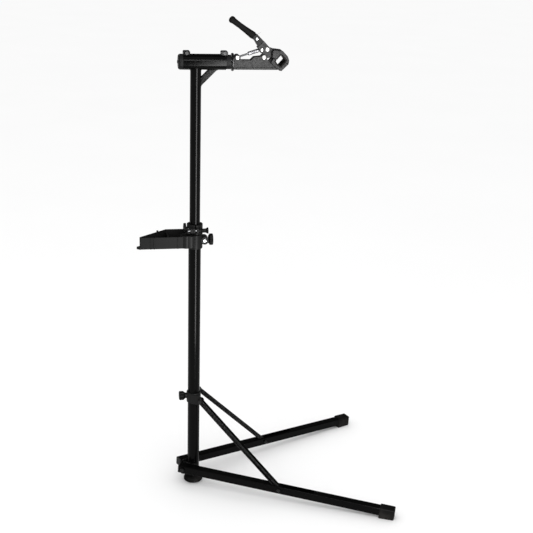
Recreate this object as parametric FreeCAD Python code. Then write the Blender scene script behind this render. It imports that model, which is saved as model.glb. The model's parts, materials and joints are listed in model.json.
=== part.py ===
import FreeCAD, Part
import os
from math import asin, atan2, cos, degrees, hypot, pi, radians, sin, sqrt

# Bike repair stand: two folding legs with braces, a telescopic mast, a tool tray
# and a locking clamp that turns in a head tube.
#
# Frame: +Z up, origin on the floor under the mast axis, +X along the head tube
# towards the clamp jaws, -Y the side the rivets are headed on. Millimetres.

V = FreeCAD.Vector
X, Y, Z = V(1, 0, 0), V(0, 1, 0), V(0, 0, 1)

# ---------------------------------------------------------------- driving sizes
fit_gap = 0.05          # radial clearance of a pin in its hole
slide_gap = 0.15        # radial clearance of one tube in another
face_gap = 0.4          # gap between faces of bodies that move past each other

# hex hardware: across the flats, head height, nut height
m8_across = 13.0
m8_head = 5.3
m8_nut = 6.5
m6_across = 10.0
m6_head = 4.0
m6_nut = 5.0
thread_show = 1.0       # screw end standing out of its nut

upper_od = 31.8
upper_wall = 1.8
liner_t = 1.0           # plastic liner between the two mast tubes
mast_wall = 2.0
mast_bottom = 27.0
mast_top = 866.0
tube_overlap = 266.0    # upper tube inside the lower one

foot_radius = 31.0
foot_height = 20.0
foot_bolt_d = 8.0
head_seat = 8.0         # underside of the foot bolt's head, inside the pad
hub_r = 17.0

leg_angle = 24.0        # each leg's heading, away from +X
leg_side = 26.0
leg_wall = 1.5
leg_front = 672.0       # from the mast axis to the leg's front end
leg_tail = 12.0         # leg behind its hinge bolt
hinge_back = 2.95       # hinge bolt behind the mast's surface
hinge_z = 56.0
corner_r = 3.0
boot_length = 45.0
boot_skin = 3.0
sole = 7.0              # rubber under the leg's front end
cheek_t = 2.4
cheek_front = 24.0
cheek_top = 70.0
leg_bolt_d = 8.0
leg_nut_h = 6.0         # thin nut behind the mast

brace_side = 15.0
brace_wall = 1.2
brace_reach = 324.0     # from the hinge bolt along the leg to the brace's foot
brace_bolt_d = 6.0
brace_plug = 12.0       # solid end round each brace bolt
spacer_r = 6.0
slot_side_gap = 0.6     # slot in the leg's top wall, beside the brace
slot_behind = 28.0      # the slot's reach behind and ahead of the brace's foot bolt
slot_ahead = 112.0
ear_out_from_ring = 11.2
ear_r = 9.0
ear_t = 3.0
ear_up = 21.0           # brace bolt above the slider's lower face
ear_nut_gap = 1.2       # root block short of the nut on the ear's inner face
collar_z = 289.0
collar_h = 34.0
collar_wall = 3.6
collar_boss = 8.5       # screw boss standing out of the ring
knob_d = 30.0
knob_depth = 19.0
knob_socket = 0.6       # part of a knob's depth that its screw fills
screw_r = 4.0           # both clamping screws

clamp_collar_drop = 10.0
clamp_collar_h = 30.0
clamp_collar_wall = 5.0
clamp_ear = 9.0         # half the width across both clamp ears
slit_half = 1.5
skewer_rise = 6.5       # skewer above the lower tube's end
skewer_out = 10.95      # skewer axis outside the lower tube
skewer_d = 6.0
cam_hub_d = 17.0
cam_pin_r = 2.5
saddle_web = 4.1
cam_half = 7.5

tray_x0 = -168.0
tray_x1 = -2.0
tray_y0 = -50.0
tray_y1 = 31.0
tray_h = 36.0
tray_wall = 2.5
tray_corner = 14.0      # round corner beside the cup
tray_rim_rise = 4.0     # rim above the height clamp's lower face
tray_split_x = -84.0    # divider between the two pockets
tray_collar_h = 44.0
tray_collar_wall = 4.5
tray_collar_gap = 0.3
tray_shelf_t = 6.0
cup_d = 33.0
boss_x = 29.0
boss_r = 12.0
boss_up = 25.0          # clamp screw above the tray collar's lower face
tray_knob_d = 36.0
tray_knob_depth = 14.0
barrel_r = 5.0

head_z = 1368.0
head_od = 45.0
head_wall = 3.0
head_x0 = -37.0
head_x1 = 86.0
rear_ring = 10.0        # length of each end ring's flange
front_ring = 14.0
ring_seat = 20.0        # each ring's sleeve inside the head tube
cap_t = 3.6
shaft_d = 25.0
flange_gap = 2.0
flange_t = 6.0
flange_d = 51.0
lug_w = 20.0
lug_over = 5.0          # front lugs standing past the head tube's end
lug_rise = 9.0
lug_y = 11.0
gusset_w = 18.0
gusset_half = 7.0

# The clamp is drawn from the centre of its flange's front face: x forward, z up.
plate_t = 3.0
plate_in = 9.0          # half the gap between the clamp's side plates
side_gap = 0.3          # jaw tang and lever plates, beside the side plates
body_low = -20.0
rim_t = 1.6
rim_h = 6.0
rivet_a = (10.0, 13.4)
rivet_b = (80.1, 36.2)
rivet_c = (96.2, 37.1)
rivet_d = (87.0, 15.1)
rivet_r = 6.5
rivet_shank = 4.0
stud_r = 3.0
jaw_half = 25.0
jaw_mid = (132.5, 7.0)
jaw_tilt = -18.3
grip_shift = 1.0        # centre of the jaws' opening ahead of jaw_mid
pad_seat = 1.25         # pad seat over the opening it surrounds
lever_plate_t = 2.5
knuckle_r = 9.0
grip_low = (56.5, 74.5)
grip_high = (-9.0, 120.5)
grip_r = 10.5
core_r = 5.0

# ---------------------------------------------------------------- sizes that follow
mast_od = upper_od + 2 * (slide_gap + liner_t + mast_wall)
mast_r = mast_od / 2
upper_bottom = mast_top - tube_overlap
hinge_u = -(mast_r + hinge_back)
leg_rear = hinge_u - leg_tail
collar_bore = mast_r + slide_gap
collar_r = collar_bore + collar_wall
ear_u = collar_r + ear_out_from_ring
ear_z = collar_z + ear_up
collar_boss_z = collar_z + collar_h / 2 + 3
clamp_collar_z = mast_top - clamp_collar_drop
clamp_collar_r = mast_r + clamp_collar_wall
skewer_z = mast_top + skewer_rise
skewer_y = -(mast_r + skewer_out)
cam_x = -(clamp_ear + saddle_web + face_gap + cam_hub_d / 2)
tray_floor_z = clamp_collar_z + tray_rim_rise - tray_h
tray_top = tray_floor_z + tray_h
tray_bore = mast_r + tray_collar_gap
tray_collar_r = tray_bore + tray_collar_wall
tray_collar_z = clamp_collar_z - 2 - tray_collar_h
boss_z = tray_collar_z + boss_up
cup_x = -(cup_d / 2 + 13.5)
cup_y = tray_y0 + cup_d / 2 - 3
head_r = head_od / 2
flange_x = head_x1 + front_ring + flange_gap
clamp_x = flange_x + flange_t
plate_out = plate_in + plate_t
tang_half = plate_in - side_gap
lever_in = plate_in + side_gap
lever_out = lever_in + lever_plate_t

parts = {}


def keep(name, shape):
    parts[name] = shape
    return shape


# ---------------------------------------------------------------- shape helpers
def box(x0, x1, y0, y1, z0, z1):
    return Part.makeBox(x1 - x0, y1 - y0, z1 - z0, V(x0, y0, z0))


def rod(radius, start, axis, length):
    return Part.makeCylinder(radius, length, start, axis)


def tube(outer, inner, start, axis, length):
    return rod(outer, start, axis, length).cut(rod(inner, start, axis, length))


def prism(points, y0, y1):
    """A flat outline of (x, z) points, extruded from y0 to y1."""
    ring = [V(x, y0, z) for x, z in points]
    return Part.Face(Part.makePolygon(ring + ring[:1])).extrude(V(0, y1 - y0, 0))


def slab(points, z0, z1):
    """A flat outline of (x, y) points, extruded from z0 to z1."""
    ring = [V(x, y, z0) for x, y in points]
    return Part.Face(Part.makePolygon(ring + ring[:1])).extrude(V(0, 0, z1 - z0))


def hexagon(across, start, axis, length):
    """A hexagonal head or nut, by its size across the flats."""
    points = [V(across / sqrt(3) * cos(k * pi / 3), across / sqrt(3) * sin(k * pi / 3), 0) for k in range(6)]
    shape = Part.Face(Part.makePolygon(points + points[:1])).extrude(V(0, 0, length))
    shape.Placement = FreeCAD.Placement(start, FreeCAD.Rotation(Z, axis))
    return shape


def turned(profile, start, axis):
    """A solid of revolution from (distance along the axis, radius) points."""
    points = [V(r, 0, t) for t, r in profile]
    shape = Part.Face(Part.makePolygon(points + points[:1])).revolve(V(0, 0, 0), Z, 360)
    shape.Placement = FreeCAD.Placement(start, FreeCAD.Rotation(Z, axis))
    return shape


def rounded(shape, radius, axis):
    """Round every straight edge that runs along one axis."""
    edges = [
        e for e in shape.Edges
        if isinstance(e.Curve, Part.Line) and abs(abs(e.Curve.Direction.dot(axis)) - 1) < 1e-6
    ]
    return shape.makeFillet(radius, edges)


def union(shapes):
    first = shapes[0]
    for other in shapes[1:]:
        first = first.fuse(other)
    return first.removeSplitter()


def group(shapes):
    """Separate solids that share one node."""
    return Part.makeCompound([solid for shape in shapes for solid in shape.Solids])


def bolt(diameter, across, head, start, axis, length):
    """A hex bolt: the shank starts at the underside of its head."""
    head_shape = hexagon(across, start - axis * head, axis, head)
    return union([head_shape, rod(diameter / 2, start, axis, length)])


def nut(diameter, across, start, axis, height):
    bore = rod(diameter / 2 + fit_gap, start, axis, height)
    return hexagon(across, start, axis, height).cut(bore)


def knob(diameter, depth, start, axis, bore, lobes=6):
    """A lobed hand knob whose stem side faces back along its axis."""
    blank = turned(
        [(0, 0), (0, diameter * 0.36), (depth * 0.2, diameter * 0.42), (depth * 0.25, diameter / 2),
         (depth * 0.9, diameter / 2), (depth, diameter * 0.44), (depth, 0)], V(0, 0, 0), Z)
    for k in range(lobes):
        a = 2 * pi * k / lobes
        scoop = diameter * 0.12
        centre = V(cos(a), sin(a), 0) * (diameter / 2 + scoop * 0.35)
        blank = blank.cut(rod(scoop, centre, Z, depth))
    blank = blank.cut(rod(bore, V(0, 0, 0), Z, depth * knob_socket))
    blank.Placement = FreeCAD.Placement(start, FreeCAD.Rotation(Z, axis))
    return blank


# ---------------------------------------------------------------- leg-side frame
# A leg and its brace are drawn flat: x runs forward from the mast axis (u), y is
# the distance out from the mast axis (n). The frame is then swung to the leg's
# heading, and mirrored for the near side.
leg_in = mast_r + 0.25 + cheek_t + face_gap
leg_mid = leg_in + leg_side / 2
leg_out = leg_in + leg_side
brace_in = leg_mid - brace_side / 2
brace_out = leg_mid + brace_side / 2
leg_slope = degrees(asin((hinge_z - leg_side / 2 - sole) / (leg_front - hinge_u - 35.0)))
brace_foot_u = hinge_u + brace_reach * cos(radians(leg_slope))
brace_foot_z = hinge_z - brace_reach * sin(radians(leg_slope))
brace_len = hypot(brace_foot_u - ear_u, ear_z - brace_foot_z)
brace_lean = degrees(atan2(ear_z - brace_foot_z, brace_foot_u - ear_u))


def sloped(shape):
    """Tip a level leg down about its hinge bolt until the boot meets the floor."""
    shape.rotate(V(hinge_u, 0, hinge_z), Y, leg_slope)
    return shape


def swung(shape):
    """A piece drawn in the leg-side frame, placed on the far (+Y) leg and the near (-Y) leg."""
    shape.rotate(V(0, 0, 0), Z, leg_angle)
    return shape, shape.mirror(V(0, 0, 0), Y)


def both_sides(name, shape):
    far, near = swung(shape)
    keep(name + "_far", far)
    keep(name + "_near", near)


def paired(shape):
    """The far and near copies of a piece as one group of separate solids."""
    return group(swung(shape))


# ---------------------------------------------------------------- mast and foot
def make_mast():
    """Lower mast tube, slit down its near side at the top so that it can be pinched."""
    body = tube(mast_r, mast_r - mast_wall, V(0, 0, mast_bottom), Z, mast_top - mast_bottom)
    slit_h = clamp_collar_h - 2
    slit = box(-slit_half, slit_half, -mast_od, 0, mast_top - slit_h, mast_top)
    return body.cut(slit)


def make_foot_pad():
    """Rubber pad moulded round the head of the foot bolt."""
    r = foot_radius
    pad = turned([(0, 0), (0, r - 3), (2.5, r), (8, r), (11, r - 1.5), (foot_height - 2, r - 9),
                  (foot_height, r - 11), (foot_height, 0)], V(0, 0, 0), Z)
    head = hexagon(m8_across, V(0, 0, head_seat - m8_head), Z, m8_head)
    hole = rod(foot_bolt_d / 2 + fit_gap, V(0, 0, head_seat), Z, foot_height)
    return pad.cut(head).cut(hole)


def make_foot_hub():
    hub_h = mast_bottom - cheek_t - foot_height
    hub = rod(hub_r, V(0, 0, foot_height), Z, hub_h)
    return hub.cut(rod(foot_bolt_d / 2 + fit_gap, V(0, 0, foot_height), Z, hub_h))


def make_foot_bolt():
    """Bolt that stands up from the pad through the floor plate, its nut inside the mast."""
    length = mast_bottom + m8_nut + 3 * thread_show - head_seat
    screw = bolt(foot_bolt_d, m8_across, m8_head, V(0, 0, head_seat), Z, length)
    return group([screw, nut(foot_bolt_d, m8_across, V(0, 0, mast_bottom), Z, m8_nut)])


# ---------------------------------------------------------------- folding base
def make_base_bracket():
    """Floor plate with two cheeks that stand along the legs' inner faces."""
    cheek_in = leg_in - face_gap - cheek_t
    low = mast_bottom - cheek_t
    cheek = prism([(leg_rear - 1, low), (cheek_front, low), (cheek_front, cheek_top - 10),
                   (cheek_front - 8, cheek_top), (leg_rear + 6, cheek_top), (leg_rear - 1, cheek_top - 7)],
                  cheek_in, cheek_in + cheek_t)
    hole = rod(leg_bolt_d / 2 + fit_gap, V(hinge_u, cheek_in - 1, hinge_z), Y, cheek_t + 2)
    far = cheek.cut(hole)
    far.rotate(V(0, 0, 0), Z, leg_angle)
    near = far.mirror(V(0, 0, 0), Y)
    out = cheek_in + cheek_t
    a = radians(leg_angle)
    rim = []
    for side in (1, -1):
        ends = [(u * cos(a) - out * sin(a), side * (u * sin(a) + out * cos(a)))
                for u in (leg_rear - 1, cheek_front)]
        rim += ends if side > 0 else ends[::-1]
    floor_plate = slab(rim, low, mast_bottom)
    floor_plate = floor_plate.cut(rod(foot_bolt_d / 2 + fit_gap, V(0, 0, 0), Z, mast_bottom))
    return union([floor_plate, far, near])


def make_leg_tube():
    """Square tube with a slot in its top wall that the brace folds into."""
    h = leg_side / 2
    outer = rounded(box(leg_rear, leg_front, leg_in, leg_out, hinge_z - h, hinge_z + h), corner_r, X)
    w = h - leg_wall
    bore = rounded(box(leg_rear, leg_front, leg_mid - w, leg_mid + w, hinge_z - w, hinge_z + w), 1.5, X)
    leg = outer.cut(bore)
    for u, d in ((hinge_u, leg_bolt_d), (hinge_u + brace_reach, brace_bolt_d)):
        leg = leg.cut(rod(d / 2 + fit_gap, V(u, leg_in - 1, hinge_z), Y, leg_side + 2))
    foot = hinge_u + brace_reach
    slot = box(foot - slot_behind, foot + slot_ahead, brace_in - slot_side_gap, brace_out + slot_side_gap,
               hinge_z, hinge_z + h + 1)
    return sloped(leg.cut(slot))


def make_leg_boot():
    """Rubber boot over the front end, with a flat sole on the floor."""
    h = leg_side / 2
    rear = leg_front - boot_length
    block = box(rear, leg_front + boot_skin, leg_in - boot_skin, leg_out + boot_skin,
                hinge_z - h - 14, hinge_z + h + boot_skin)
    block = rounded(rounded(block, 4, X), 4, Z)
    socket = rounded(box(rear, leg_front, leg_in, leg_out, hinge_z - h, hinge_z + h), corner_r, X)
    boot = sloped(block.cut(socket))
    below = box(0, leg_front + 80, 0, leg_out + 30, -60, 0)
    return boot.cut(below)


def make_leg_plug():
    """Moulded plug that closes the rear end of a leg."""
    h = leg_side / 2
    cap = rounded(box(leg_rear - 3, leg_rear, leg_in, leg_out, hinge_z - h, hinge_z + h), corner_r, X)
    w = h - leg_wall - slide_gap
    stem = rounded(box(leg_rear, leg_rear + 5, leg_mid - w, leg_mid + w, hinge_z - w, hinge_z + w), 1.3, X)
    return sloped(union([cap, stem]))


def make_leg_bolt():
    """Hinge bolt through a leg and its cheek, with the nut behind the mast."""
    nut_face = leg_in - face_gap - cheek_t
    head_face = leg_out + face_gap
    length = head_face - nut_face + leg_nut_h + thread_show
    screw = bolt(leg_bolt_d, m8_across, m8_head, V(hinge_u, head_face, hinge_z), -Y, length)
    return group([screw, nut(leg_bolt_d, m8_across, V(hinge_u, nut_face, hinge_z), -Y, leg_nut_h)])


def make_brace():
    """Square tube with round ends, from inside the leg up to the slider's ear."""
    r = brace_side / 2
    mid = brace_in + r
    start = V(0, mid, 0)
    outer = union([
        rounded(box(0, brace_len, brace_in, brace_out, -r, r), 1.5, X),
        rod(r, V(0, brace_in, 0), Y, brace_side),
        rod(r, V(brace_len, brace_in, 0), Y, brace_side)])
    w = r - brace_wall
    hollow = box(brace_plug, brace_len - brace_plug, mid - w, mid + w, -w, w)
    outer = outer.cut(hollow)
    for u in (0, brace_len):
        outer = outer.cut(rod(brace_bolt_d / 2 + fit_gap, start + V(u, -brace_side, 0), Y, 2 * brace_side))
    outer.rotate(V(0, 0, 0), Y, 180 + brace_lean)
    outer.translate(V(brace_foot_u, 0, brace_foot_z))
    return outer


def make_brace_foot_bolt():
    """Bolt through both walls of the leg, with a spacer each side of the brace and a nut."""
    reach = leg_side + m6_nut + thread_show
    head_face = V(brace_foot_u, leg_out, brace_foot_z)
    screw = bolt(brace_bolt_d, m6_across, m6_head, head_face, -Y, reach)
    pieces = [screw, nut(brace_bolt_d, m6_across, V(brace_foot_u, leg_in, brace_foot_z), -Y, m6_nut)]
    thick = leg_side / 2 - leg_wall - brace_side / 2 - face_gap
    for n in (leg_in + leg_wall, brace_out + face_gap):
        pieces.append(tube(spacer_r, brace_bolt_d / 2 + fit_gap, V(brace_foot_u, n, brace_foot_z), Y, thick))
    return group(pieces)


def make_brace_top_bolt():
    """Screw that fills the brace's upper eye and ends flush with its inner face."""
    return bolt(brace_bolt_d, m6_across, m6_head, V(ear_u, brace_out, ear_z), -Y, brace_side)


def ear_face():
    """Outer face of each slider ear, beside its brace."""
    return brace_in - face_gap


def make_brace_collar():
    """Slider on the lower mast: an ear for each brace and a boss for the clamping screw."""
    ring = tube(collar_r, collar_bore, V(0, 0, collar_z), Z, collar_h)
    out = ear_face()
    low, high = collar_z + 1, collar_z + collar_h - 2
    root_end = ear_u - m6_across / sqrt(3) - ear_nut_gap
    root = box(0, root_end, collar_bore / 2, out, low, high).cut(rod(collar_bore, V(0, 0, low), Z, collar_h))
    plate = prism([(root_end - 4, low), (ear_u, ear_z - ear_r), (ear_u, ear_z + ear_r), (root_end - 4, high)],
                  out - ear_t, out)
    ear = union([root, plate, rod(ear_r, V(ear_u, out - ear_t, ear_z), Y, ear_t)])
    ear = ear.cut(rod(brace_bolt_d / 2 + fit_gap, V(ear_u, out - ear_t - 1, ear_z), Y, ear_t + 2))
    far, near = swung(ear)
    boss = rod(ear_r, V(-collar_bore - collar_boss, 0, collar_boss_z), X, collar_boss - 0.5)
    body = union([ring, far, near, boss])
    return body.cut(rod(screw_r + fit_gap, V(-collar_bore - 20, 0, collar_boss_z), X, 22))


def make_ear_stud():
    """Nut and screw end on the inner side of a slider ear."""
    start = V(ear_u, ear_face(), ear_z)
    shank = rod(brace_bolt_d / 2, start, -Y, ear_t + m6_nut + thread_show)
    return union([shank, hexagon(m6_across, start - Y * ear_t, -Y, m6_nut)])


def make_collar_knob():
    face = -collar_bore - collar_boss - face_gap
    return knob(knob_d, knob_depth, V(face, 0, collar_boss_z), -X, screw_r)


def make_collar_screw():
    start = V(-collar_bore - face_gap, 0, collar_boss_z)
    return rod(screw_r, start, -X, collar_boss + knob_depth * knob_socket)


# ---------------------------------------------------------------- height clamp
def make_height_collar():
    """Split clamp collar at the mast's top, with two ears for the skewer."""
    top = clamp_collar_z + clamp_collar_h
    ring = rod(clamp_collar_r, V(0, 0, clamp_collar_z), Z, clamp_collar_h)
    ears = box(-clamp_ear, clamp_ear, skewer_y - 7, -mast_r, skewer_z - 8, skewer_z + 8)
    body = union([ring, rounded(ears, 4, X)])
    body = body.cut(rod(mast_r, V(0, 0, clamp_collar_z), Z, clamp_collar_drop))
    body = body.cut(rod(upper_od / 2 + slide_gap + 0.8, V(0, 0, mast_top), Z, top - mast_top))
    body = body.cut(box(-slit_half, slit_half, skewer_y - 8, 0, clamp_collar_z, top))
    return body.cut(rod(skewer_d / 2 + fit_gap, V(-clamp_ear - 1, skewer_y, skewer_z), X, 2 * clamp_ear + 2))


def make_height_bushing():
    """Thin plastic liner between the two mast tubes."""
    liner_h = 40
    return tube(mast_r - mast_wall, upper_od / 2 + slide_gap, V(0, 0, mast_top - liner_h), Z, liner_h)


def make_skewer():
    """Through rod with a cross pin in the cam lever and a thread at the nut."""
    shank = rod(skewer_d / 2, V(cam_x, skewer_y, skewer_z), X, 36 - cam_x)
    return union([shank, rod(cam_pin_r, V(cam_x, skewer_y, skewer_z - cam_half), Z, 2 * cam_half)])


def make_skewer_nut():
    """Flared thumb nut on the skewer's right end."""
    start = V(clamp_ear + face_gap, skewer_y, skewer_z)
    body = turned([(0, 0), (0, 5), (6, 5), (7, 8), (12, 6.2), (20, 6.2), (26, 9.5), (28, 9.5), (28, 0)],
                  start, X)
    return body.cut(rod(skewer_d / 2 + fit_gap, start - X, X, 28))


def make_cam_saddle():
    """Cradle between the collar's left ear and the cam."""
    rear = cam_x + 6
    block = rounded(box(rear, -clamp_ear, skewer_y - 7, skewer_y + 7, skewer_z - 7, skewer_z + 7), 2, X)
    block = block.cut(rod(cam_hub_d / 2 + face_gap, V(cam_x, skewer_y, skewer_z - 12), Z, 24))
    return block.cut(rod(skewer_d / 2 + fit_gap, V(rear - 4, skewer_y, skewer_z), X, 20))


def make_cam_lever():
    """Cam hub on an upright pin, with an arm that folds back beside the mast."""
    r = cam_hub_d / 2
    hub = rod(r, V(cam_x, skewer_y, skewer_z - cam_half), Z, 2 * cam_half)
    arm_x = -(clamp_collar_r + 1.45)
    arm = slab([(cam_x - r, skewer_y), (arm_x - 10, skewer_y + 30), (arm_x - 6, skewer_y + 62),
                (arm_x + 2, skewer_y + 62), (arm_x, skewer_y + 30), (cam_x + 1, skewer_y + 6)],
               skewer_z - 6, skewer_z + 6)
    lever = union([hub, rounded(arm, 2.5, Z)])
    lever = lever.cut(rod(cam_pin_r + fit_gap, V(cam_x, skewer_y, skewer_z - 20), Z, 40))
    return lever.cut(rod(r + 1, V(cam_x, skewer_y, skewer_z - skewer_d * 0.6), Z, skewer_d * 1.2))


# ---------------------------------------------------------------- upper mast
def make_upper_mast():
    """Upper tube, its top coped to the head tube."""
    r = upper_od / 2
    post = tube(r, r - upper_wall, V(0, 0, upper_bottom), Z, head_z - upper_bottom)
    return post.cut(rod(head_r, V(-60, 0, head_z), X, 120))


def make_mast_guide():
    """Plastic guide pressed into the upper tube's lower end."""
    plug = rod(mast_r - mast_wall - slide_gap, V(0, 0, upper_bottom - 12), Z, 12)
    return union([plug, rod(upper_od / 2 - upper_wall, V(0, 0, upper_bottom), Z, 14)])


def make_head_tube():
    """Head tube, slit along the top at both ends."""
    body = tube(head_r, head_r - head_wall, V(head_x0, 0, head_z), X, head_x1 - head_x0)
    slit = 34
    for x0, x1 in ((head_x0, head_x0 + slit), (head_x1 - slit, head_x1)):
        body = body.cut(box(x0, x1, -slit_half, slit_half, head_z, head_z + head_r + 1))
    return body


def lug_spans():
    """Where the pinch lugs start and end along the head tube."""
    return ((head_x0, head_x0 + lug_w), (head_x1 + lug_over - lug_w, head_x1 + lug_over))


def make_pinch_lugs():
    """Two pairs of welded ears that close the slits in the head tube."""
    lugs = []
    for x0, x1 in lug_spans():
        for y0, y1 in ((slit_half, lug_y), (-lug_y, -slit_half)):
            ear = rounded(box(x0, x1, y0, y1, head_z + 8, head_z + head_r + lug_rise), 4, Y)
            ear = ear.cut(rod(head_r, V(x0 - 1, 0, head_z), X, lug_w + 2))
            hole = rod(stud_r + fit_gap, V((x0 + x1) / 2, y0 - 1, head_z + head_r + 3.2), Y, lug_y + 1)
            lugs.append(ear.cut(hole))
    return Part.makeCompound(lugs)


def make_pinch_bolts():
    """A bolt and nut across each pair of ears."""
    z = head_z + head_r + 3.2
    across = 9.5
    length = 2 * lug_y + m6_nut + thread_show
    pieces = []
    for x0, x1 in lug_spans():
        mid = (x0 + x1) / 2
        pieces.append(bolt(2 * stud_r, across, m6_head, V(mid, -lug_y, z), Y, length))
        pieces.append(nut(2 * stud_r, across, V(mid, lug_y, z), Y, m6_nut))
    return group(pieces)


def make_gusset():
    """Square brace welded between the mast and the head tube at 45 degrees."""
    bar = box(-60, 60, -gusset_half, gusset_half, -gusset_w / 2, gusset_w / 2)
    bar = rounded(bar, 2, X)
    bar.rotate(V(0, 0, 0), Y, -45)
    bar.translate(V(29, 0, head_z - head_r - 18.5))
    bar = bar.cut(rod(head_r, V(-100, 0, head_z), X, 300))
    bar = bar.cut(rod(upper_od / 2, V(0, 0, head_z - 200), Z, 300))
    pieces = bar.common(box(0, 100, -20, 20, head_z - 120, head_z)).Solids
    return max(pieces, key=lambda s: s.Volume)


def make_head_ring(x0, length, radius):
    """Flanged plastic bushing in one end of the head tube."""
    bore = shaft_d / 2 + slide_gap
    ring = tube(radius, bore, V(x0, 0, head_z), X, length)
    start = x0 + length if x0 < 0 else x0 - ring_seat
    return union([ring, tube(head_r - head_wall, bore, V(start, 0, head_z), X, ring_seat)])


# ---------------------------------------------------------------- clamp
def at_clamp(shape):
    """Move a clamp piece from its own drawing to the flange's front face."""
    shape.translate(V(clamp_x, 0, head_z))
    return shape


def disc(place, radius, y0, y1):
    return rod(radius, V(place[0], y0, place[1]), Y, y1 - y0)


def round_corner(place, radius, first, last, step):
    """Outline points round a pivot, from one angle to another."""
    angles = [radians(t) for t in range(first, last, step)]
    return [(place[0] + radius * cos(t), place[1] + radius * sin(t)) for t in angles]


def make_shaft():
    """Turning shaft, from the end cap to the clamp's flange, drilled for the cap screw."""
    left = head_x0 - rear_ring
    shaft = rod(shaft_d / 2, V(left, 0, head_z), X, clamp_x - left)
    return shaft.cut(rod(stud_r + fit_gap, V(left, 0, head_z), X, 20))


def make_flange():
    ring = tube(flange_d / 2, shaft_d / 2 + fit_gap, V(flange_x, 0, head_z), X, flange_t)
    rims = [e for e in ring.Edges if isinstance(e.Curve, Part.Circle) and e.Curve.Radius > flange_d / 2 - 1]
    return ring.makeChamfer(1.2, rims)


def make_shaft_cap():
    """Low domed cap screwed to the shaft's free end."""
    start = V(head_x0 - rear_ring - face_gap, 0, head_z)
    r = head_r - 1.5
    cap = turned([(0, 0), (0, r), (cap_t * 0.4, r), (cap_t, r - 3), (cap_t, 0)], start, -X)
    return union([cap, bolt(2 * stud_r, 8, 2.2, start - X * cap_t, X, cap_t + 16)])


def side_outline():
    """The clamp body's side plate, from the flange to the throat."""
    points = [(0, body_low), (129, body_low), (104, 2), (97.6, 7.5)]
    points += round_corner(rivet_d, 8.5, -20, 170, 15)
    points += [(58, 15.8), (49, 6.8), (23, 6.8)]
    points += round_corner(rivet_a, 9, -20, 181, 15)
    return points + [(0, 12)]


def body_rims():
    """Rolled lower edges outside the side plates."""
    return [box(6, 124, y, y + rim_t, body_low, body_low + rim_h) for y in (plate_out, -plate_out - rim_t)]


def body_floor():
    return box(0, 128, -plate_in, plate_in, body_low, body_low + plate_t)


def make_clamp_body():
    """Pressed channel: two side plates, a floor and rolled lower edges."""
    plates = [prism(side_outline(), plate_in, plate_out), prism(side_outline(), -plate_out, -plate_in)]
    rear = box(0, plate_t, -plate_in, plate_in, body_low, 12)
    body = union(plates + [body_floor(), rear])
    for place in (rivet_a, rivet_d):
        body = body.cut(disc(place, rivet_shank + fit_gap, -20, 20))
    return at_clamp(union([body] + body_rims()))


def rivet(place, shank, half, head=1.8, radius=rivet_r):
    """A headed pin across the clamp, its domed heads outside +-half."""
    body = disc(place, shank, -half, half)
    for side in (1, -1):
        body = body.fuse(rivet_dome(place, side, half, head, radius))
    return at_clamp(body.removeSplitter())


def rivet_dome(place, side, half, head, radius):
    profile = [(0, 0), (0, radius), (head * 0.45, radius), (head, radius * 0.72), (head, 0)]
    return turned(profile, V(place[0], side * half, place[1]), Y * side)


def jaw_point(p, q):
    """A point on the jaws, p along the parting line and q across it."""
    t = radians(jaw_tilt)
    return (jaw_mid[0] + p * cos(t) - q * sin(t), jaw_mid[1] + p * sin(t) + q * cos(t))


def jaw_opening(scale, half):
    """Six-sided hole through both jaws, or with a larger scale the seat of the pads round it."""
    half_ring = [(-0.5, 15.5), (8.6, 9.2), (14.6, 0.6)]
    ring = half_ring + [(-x, -z) for x, z in half_ring]
    return prism([(jaw_mid[0] + grip_shift + scale * x, jaw_mid[1] + scale * z) for x, z in ring], -half, half)


def jaw_side(side, gap):
    """Everything above (side 1) or below (side -1) the parting line, gap away from it."""
    far = 3 * jaw_half
    return prism([jaw_point(-far, side * gap), jaw_point(far, side * gap), jaw_point(far, side * far),
                  jaw_point(-far, side * far)], -jaw_half - 2, jaw_half + 2)


def make_fixed_jaw():
    """Lower jaw casting, its tang riveted between the side plates."""
    floor_top = body_low + plate_t
    tang = prism([(101, floor_top), (128, floor_top), jaw_point(-4, -16), jaw_point(-14, -2),
                  jaw_point(-25, -face_gap - 1), (101, 4)], -plate_in, plate_in)
    head = prism([(105.5, 1.5), (130, -20.5), (136.8, -21.5), (155, -3.5), (156.7, -1.9),
                  jaw_point(25.5, -face_gap), jaw_point(-22, -face_gap)], -jaw_half, jaw_half)
    body = union([tang, head]).cut(jaw_opening(pad_seat, jaw_half + 1)).cut(body_floor())
    for y0, y1 in ((plate_in, plate_out), (-plate_out, -plate_in)):
        body = body.cut(prism(side_outline(), y0, y1))
    return at_clamp(body.cut(Part.makeCompound(body_rims())))


def make_moving_jaw():
    """Upper jaw casting with a tang that holds the pivot and the lever pin."""
    c, d = rivet_c, rivet_d
    web = prism([(c[0] - 7, c[1] + 2), (c[0] + 2, c[1] + 6.8), (128, 35), (122, 16),
                 jaw_point(-24, face_gap + 1), (96, 12), (d[0], d[1] - 7.5), (d[0] - 7.5, d[1])],
                -tang_half, tang_half)
    tang = union([web, disc(c, 7, -tang_half, tang_half), disc(d, 8, -tang_half, tang_half)])
    head = prism([(109, 16), (109, 30), (113, 37.5), (139.5, 34.5), (153.8, 20), (158.1, 8),
                  jaw_point(25.5, face_gap), jaw_point(-20, face_gap)], -jaw_half, jaw_half)
    body = union([tang, head]).cut(jaw_opening(pad_seat, jaw_half + 1))
    for place, r in ((c, stud_r), (d, rivet_shank)):
        body = body.cut(disc(place, r + fit_gap, -20, 20))
    return at_clamp(body)


def make_jaw_pad(side):
    """Rubber facing in a jaw's seat: its half of the six-sided opening."""
    ring = jaw_opening(pad_seat, jaw_half - 1).cut(jaw_opening(1, jaw_half))
    return at_clamp(ring.common(jaw_side(side, face_gap)))


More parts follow.
